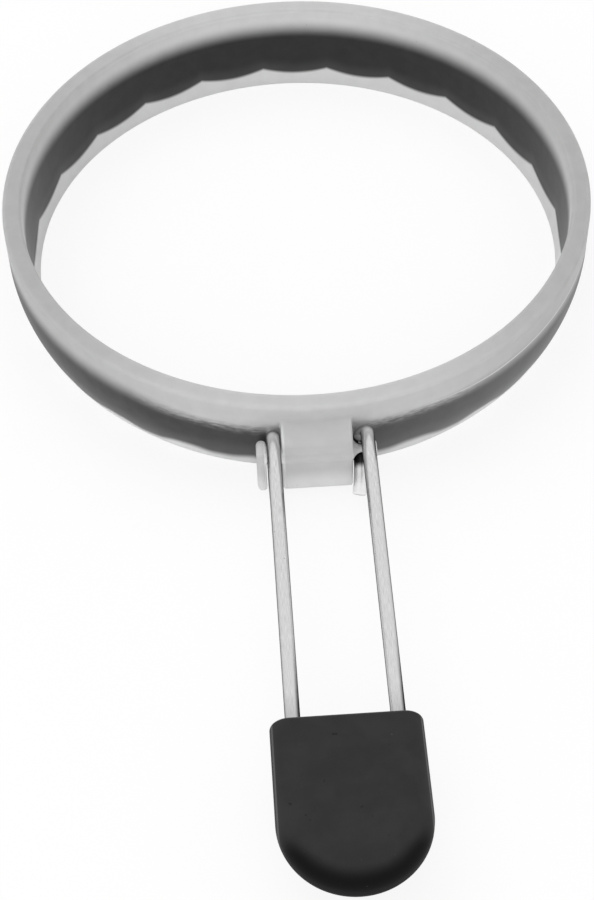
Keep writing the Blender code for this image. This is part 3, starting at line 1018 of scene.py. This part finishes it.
def grip_material():
    """Matte black moulded silicone with a faint grain and a few pale specks of dust, with painted
    shade round its front and painted highlights along its rims.
    """
    nodes = Nodes("grip_silicone", {"Roughness": 0.62, "Specular IOR Level": 0.1})
    x, y, z = nodes.coordinates()
    across = nodes.minus(x, leg_center_x)
    forward = nodes.minus(axis_y - handle_length + grip_width / 2, y)
    # Painted shade darkening the grip's rounded front
    smooth = nodes.times(nodes.ramp(forward, nose_shade_start_fade),
                         nodes.ramp(nodes.length(across, forward), nose_shade_reach_fade))
    tone = nodes.times(nodes.cloud(grip_cloud_noise, *grip_tones),
                       nodes.ramp(smooth, (0.0, 1.0), 1.0, nose_shade_share))
    # Painted highlights along the grip's side and rear rims
    from_side = nodes.minus(grip_width / 2, nodes.size(across))
    from_rim = nodes.size(nodes.minus(from_side, rim_highlight_inset))
    rim_highlight = nodes.times(nodes.fall(from_rim, rim_highlight_width_fade, rim_highlight_share),
                      nodes.fall(forward, rim_highlight_length_fade), nodes.ramp(z, rim_highlight_height_fade))
    from_rear = nodes.minus(axis_y - handle_length + grip_length, y)
    rear_rim_highlight = nodes.times(nodes.fall(from_rear, rear_rim_highlight_fade, rear_rim_highlight_share),
                           nodes.ramp(z, rear_rim_highlight_height_fade))
    tone = nodes.mix(nodes.math("MAXIMUM", rim_highlight, rear_rim_highlight), tone, rim_highlight_tone)
    smudges = nodes.cloud(smudge_noise, 1.0, smudge_share, smudge_spread)
    dust = nodes.cloud(dust_noise, 0.0, dust_tone, dust_spread)
    nodes.paint(nodes.plus(nodes.times(tone, smudges), dust))
    nodes.bump(nodes.noise(grip_grain_noise), grip_grain_depth)
    return nodes.material


def band_material():
    nodes = Nodes("dark_nylon", {"Roughness": 0.6})
    nodes.paint(nodes.cloud(band_noise, *band_tones))
    return nodes.material


def pin_material():
    nodes = Nodes("pin_steel", {"Roughness": 0.3, "Metallic": 1.0})
    nodes.paint(nodes.cloud(pin_noise, *pin_tones))
    return nodes.material


def dress(item, material, body, node):
    item.data.materials.clear()
    item.data.materials.append(material)
    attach(item, body)
    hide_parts(node)


dress(make_ring(), silicone_ring_material(), "ring", "ring_body")
dress(make_wire(), wire_material(), "handle", "handle_wire")
dress(make_grip(), grip_material(), "handle", "grip")
for node_name, make_material in (("stiffener_band", band_material), ("hinge_pin", pin_material)):
    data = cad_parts[node_name].data
    data.materials.clear()
    data.materials.append(make_material())


# Studio: a pale floor, a white surround and two soft lamps
camera_place = (-0.01003, ring_center_y - 0.23382, 0.23489)
camera_right = (0.99790, -0.06182, -0.01934)
camera_up = (0.06018, 0.77428, 0.62998)
camera_forward = (0.02397, 0.62982, -0.77637)
camera_lens = 77.74
nearest_seen = 0.01
floor_size = 3.0
floor_drop = 0.0001
floor_noise = (30.0, 2.0)
floor_tones = (0.96, 0.98)
floor_whiteness = 0.85
ambient_light = 0.62
lamp_size = 1.2
lamp_power = 4.5
back_lamp_place = (-0.2, 0.5, 0.9)
front_lamp_place = (-0.1, -1.0, 0.5)


def make_camera():
    data = bpy.data.cameras.new("camera")
    data.lens = camera_lens
    data.clip_start = nearest_seen
    camera = add_object("camera", data)
    back = [-n for n in camera_forward]
    turn = Matrix((camera_right, camera_up, back)).transposed().to_4x4()
    camera.matrix_world = Matrix.Translation(camera_place) @ turn
    bpy.context.scene.camera = camera


def shown_directly(tree):
    """1 for camera, glossy and transmission rays, which see the white surround itself."""
    path = tree.nodes.new("ShaderNodeLightPath")
    total = path.outputs["Is Camera Ray"]
    for name in ("Is Glossy Ray", "Is Transmission Ray"):
        step = tree.nodes.new("ShaderNodeMath")
        step.operation = "MAXIMUM"
        tree.links.new(total, step.inputs[0])
        tree.links.new(path.outputs[name], step.inputs[1])
        total = step.outputs[0]
    return total


def make_world():
    world = bpy.data.worlds.new("surround")
    bpy.context.scene.world = world
    world.use_nodes = True
    tree = world.node_tree
    background = tree.nodes["Background"]
    background.inputs["Color"].default_value = (1, 1, 1, 1)
    strength = tree.nodes.new("ShaderNodeMapRange")
    strength.inputs["To Min"].default_value = ambient_light
    strength.inputs["To Max"].default_value = 1.0
    tree.links.new(shown_directly(tree), strength.inputs["Value"])
    tree.links.new(strength.outputs["Result"], background.inputs["Strength"])


def make_floor():
    shape = bmesh.new()
    bmesh.ops.create_grid(shape, x_segments=1, y_segments=1, size=floor_size)
    mesh = bpy.data.meshes.new("floor")
    shape.to_mesh(mesh)
    shape.free()
    floor = add_object("floor", mesh)
    floor.location.z = -floor_drop
    nodes = Nodes("pale_floor", {"Roughness": 0.9, "Specular IOR Level": 0.0})
    nodes.paint(nodes.cloud(floor_noise, *floor_tones))
    glow = nodes.add("ShaderNodeEmission")
    mixer = nodes.add("ShaderNodeMixShader")
    nodes.link(nodes.times(shown_directly(nodes.tree), floor_whiteness), mixer.inputs["Fac"])
    nodes.link(nodes.shader.outputs["BSDF"], mixer.inputs[1])
    nodes.link(glow.outputs[0], mixer.inputs[2])
    nodes.link(mixer.outputs[0], nodes.tree.nodes["Material Output"].inputs["Surface"])
    floor.data.materials.append(nodes.material)


def make_lamp(name, place):
    """A soft round lamp that faces the origin."""
    data = bpy.data.lights.new(name, "AREA")
    data.shape = "DISK"
    data.size = lamp_size
    data.energy = lamp_power
    lamp = add_object(name, data)
    lamp.visible_glossy = False
    lamp.location = place
    lamp.rotation_euler = (-Vector(place)).to_track_quat("-Z", "Y").to_euler()


make_camera()
make_world()
make_floor()
make_lamp("back_light", back_lamp_place)
make_lamp("front_light", front_lamp_place)
bpy.context.scene.view_settings.view_transform = "Standard"
